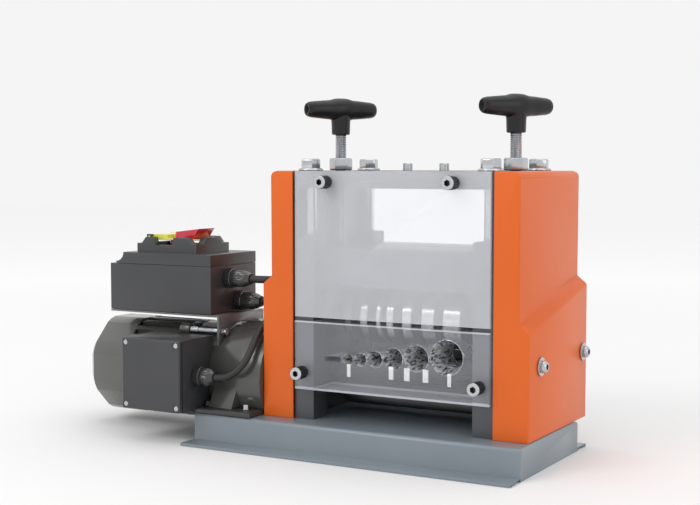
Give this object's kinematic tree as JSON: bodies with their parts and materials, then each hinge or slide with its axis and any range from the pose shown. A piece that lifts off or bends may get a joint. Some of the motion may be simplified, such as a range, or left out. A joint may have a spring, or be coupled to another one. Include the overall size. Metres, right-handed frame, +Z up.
{
  "type": "wire stripping machine",
  "caption": "Motor driven bench wire stripper with a knurled feed roller, a blade shaft pressed down by two T-handle screws and a clear guide block.",
  "frame": {"origin": "under the middle of the machine's bounding box without its cord, on the floor", "axes": "+X to the right seen from the wire inlet, from the motor to the right cover; +Y from the inlet to the outlet; +Z up"},
  "size_m": [0.5318, 0.3745, 0.355],
  "materials": {
    "orange_paint": "satin powder coat",
    "base_paint": "satin paint",
    "frame_steel": "machined, satin",
    "bright_steel": "bright plated",
    "dark_steel": "blackened",
    "motor_paint": "glossy black paint",
    "black_sheet": "black paint",
    "box_plastic": "fine grain",
    "clear_plastic": "clear acrylic",
    "handle_plastic": "ribbed grey end faces",
    "red_plastic": "smooth",
    "green_plastic": "smooth",
    "yellow_plastic": "smooth",
    "copper_steel": "laminated core and windings",
    "cord_rubber": "matte"
  },
  "bodies": {
    "machine": {"base_channel": "base_paint", "cord_coil": "cord_rubber", "cord_gland": "box_plastic", "fan_cowl": "black_sheet", "front_bracket_standoff": "bright_steel", "gear_housing": "motor_paint", "guide_block": "clear_plastic", "lead_gland": "box_plastic", "left_adjusting_nut": "bright_steel", "left_cover_screw_first": "bright_steel", "left_cover_screw_second": "bright_steel", "left_front_top_bolt": "bright_steel", "left_guard_screw": "dark_steel", "left_guide_screw": "dark_steel", "left_rear_top_bolt": "bright_steel", "left_side_cover": "orange_paint", "left_side_plate": "frame_steel", "left_top_stud": "bright_steel", "mains_cord": "cord_rubber", "motor_body": "motor_paint", "motor_lead": "cord_rubber", "motor_mount_plate": "black_sheet", "motor_stator": "copper_steel", "plug": "cord_rubber", "rear_bracket_standoff": "bright_steel", "rear_guard": "black_sheet", "right_adjusting_nut": "bright_steel", "right_cover_screw_first": "bright_steel", "right_cover_screw_second": "bright_steel", "right_front_top_bolt": "bright_steel", "right_guard_screw": "dark_steel", "right_guide_screw": "dark_steel", "right_rear_top_bolt": "bright_steel", "right_side_cover": "orange_paint", "right_side_plate": "frame_steel", "right_top_stud": "bright_steel", "switch_box": "box_plastic", "switch_bracket": "black_sheet", "switch_lid": "box_plastic", "terminal_box": "box_plastic", "terminal_gland": "box_plastic", "terminal_lid": "box_plastic", "top_plate": "frame_steel", "upper_guard": "clear_plastic"},
    "carriage_unit": {"carriage": "frame_steel"},
    "cutter": {"cutter_shaft": "bright_steel"},
    "left_screw": {"left_adjusting_screw": "bright_steel", "left_t_handle": "handle_plastic"},
    "right_screw": {"right_adjusting_screw": "bright_steel", "right_t_handle": "handle_plastic"},
    "roller": {"feed_roller": "dark_steel", "roller_gear": "frame_steel"},
    "rotor": {"motor_rotor": "dark_steel", "motor_fan": "box_plastic"},
    "layshaft": {"gearhead_layshaft": "frame_steel"},
    "output": {"output_shaft": "frame_steel"},
    "stop_flap": {"switch_flap": "yellow_plastic", "stop_paddle": "red_plastic"},
    "start": {"start_button": "green_plastic"},
    "stop": {"stop_button": "red_plastic"}
  },
  "joints": [
    {"name": "left_screw_turn", "type": "hinge", "parent": "carriage_unit", "child": "left_screw", "pos_m": [0.01585, 0.02575, 0.28], "axis": [0, 0, 1], "range_deg": [-1029, 3086]},
    {"name": "right_screw_turn", "type": "hinge", "parent": "carriage_unit", "child": "right_screw", "pos_m": [0.21225, 0.02575, 0.28], "axis": [0, 0, 1], "range_deg": [-1029, 3086]},
    {"name": "carriage_slide", "type": "slide", "parent": "machine", "child": "carriage_unit", "axis": [0, 0, 1], "range_m": [-0.005, 0.015]},
    {"name": "cutter_spin", "type": "hinge", "parent": "carriage_unit", "child": "cutter", "pos_m": [0.11405, 0.02575, 0.131], "axis": [1, 0, 0], "continuous": true},
    {"name": "motor_spin", "type": "hinge", "parent": "machine", "child": "rotor", "pos_m": [-0.17795, -0.00125, 0.064], "axis": [1, 0, 0], "continuous": true},
    {"name": "layshaft_spin", "type": "hinge", "parent": "machine", "child": "layshaft", "pos_m": [-0.08595, -0.00125, 0.088], "axis": [1, 0, 0], "continuous": true},
    {"name": "output_spin", "type": "hinge", "parent": "machine", "child": "output", "pos_m": [-0.04095, -0.00125, 0.064], "axis": [1, 0, 0], "continuous": true},
    {"name": "roller_spin", "type": "hinge", "parent": "machine", "child": "roller", "pos_m": [0.11405, 0.02575, 0.064], "axis": [1, 0, 0], "continuous": true},
    {"name": "flap_hinge", "type": "hinge", "parent": "machine", "child": "stop_flap", "pos_m": [-0.19595, -0.00125, 0.2073], "axis": [0, -1, 0], "range_deg": [-2, 100]},
    {"name": "start_press", "type": "slide", "parent": "machine", "child": "start", "axis": [0, 0, -1], "range_m": [0, 0.003], "stiffness_N_per_m": 400},
    {"name": "stop_press", "type": "slide", "parent": "machine", "child": "stop", "axis": [0, 0, -1], "range_m": [0, 0.003], "stiffness_N_per_m": 400}
  ],
  "couplings": [
    {"joint": "left_screw_turn", "follows": "carriage_slide", "rad_per_m": 3590.4},
    {"joint": "right_screw_turn", "follows": "carriage_slide", "rad_per_m": 3590.4},
    {"joint": "layshaft_spin", "follows": "motor_spin", "ratio": -0.25},
    {"joint": "output_spin", "follows": "motor_spin", "ratio": 0.0625},
    {"joint": "roller_spin", "follows": "motor_spin", "ratio": -0.035326}
  ]
}
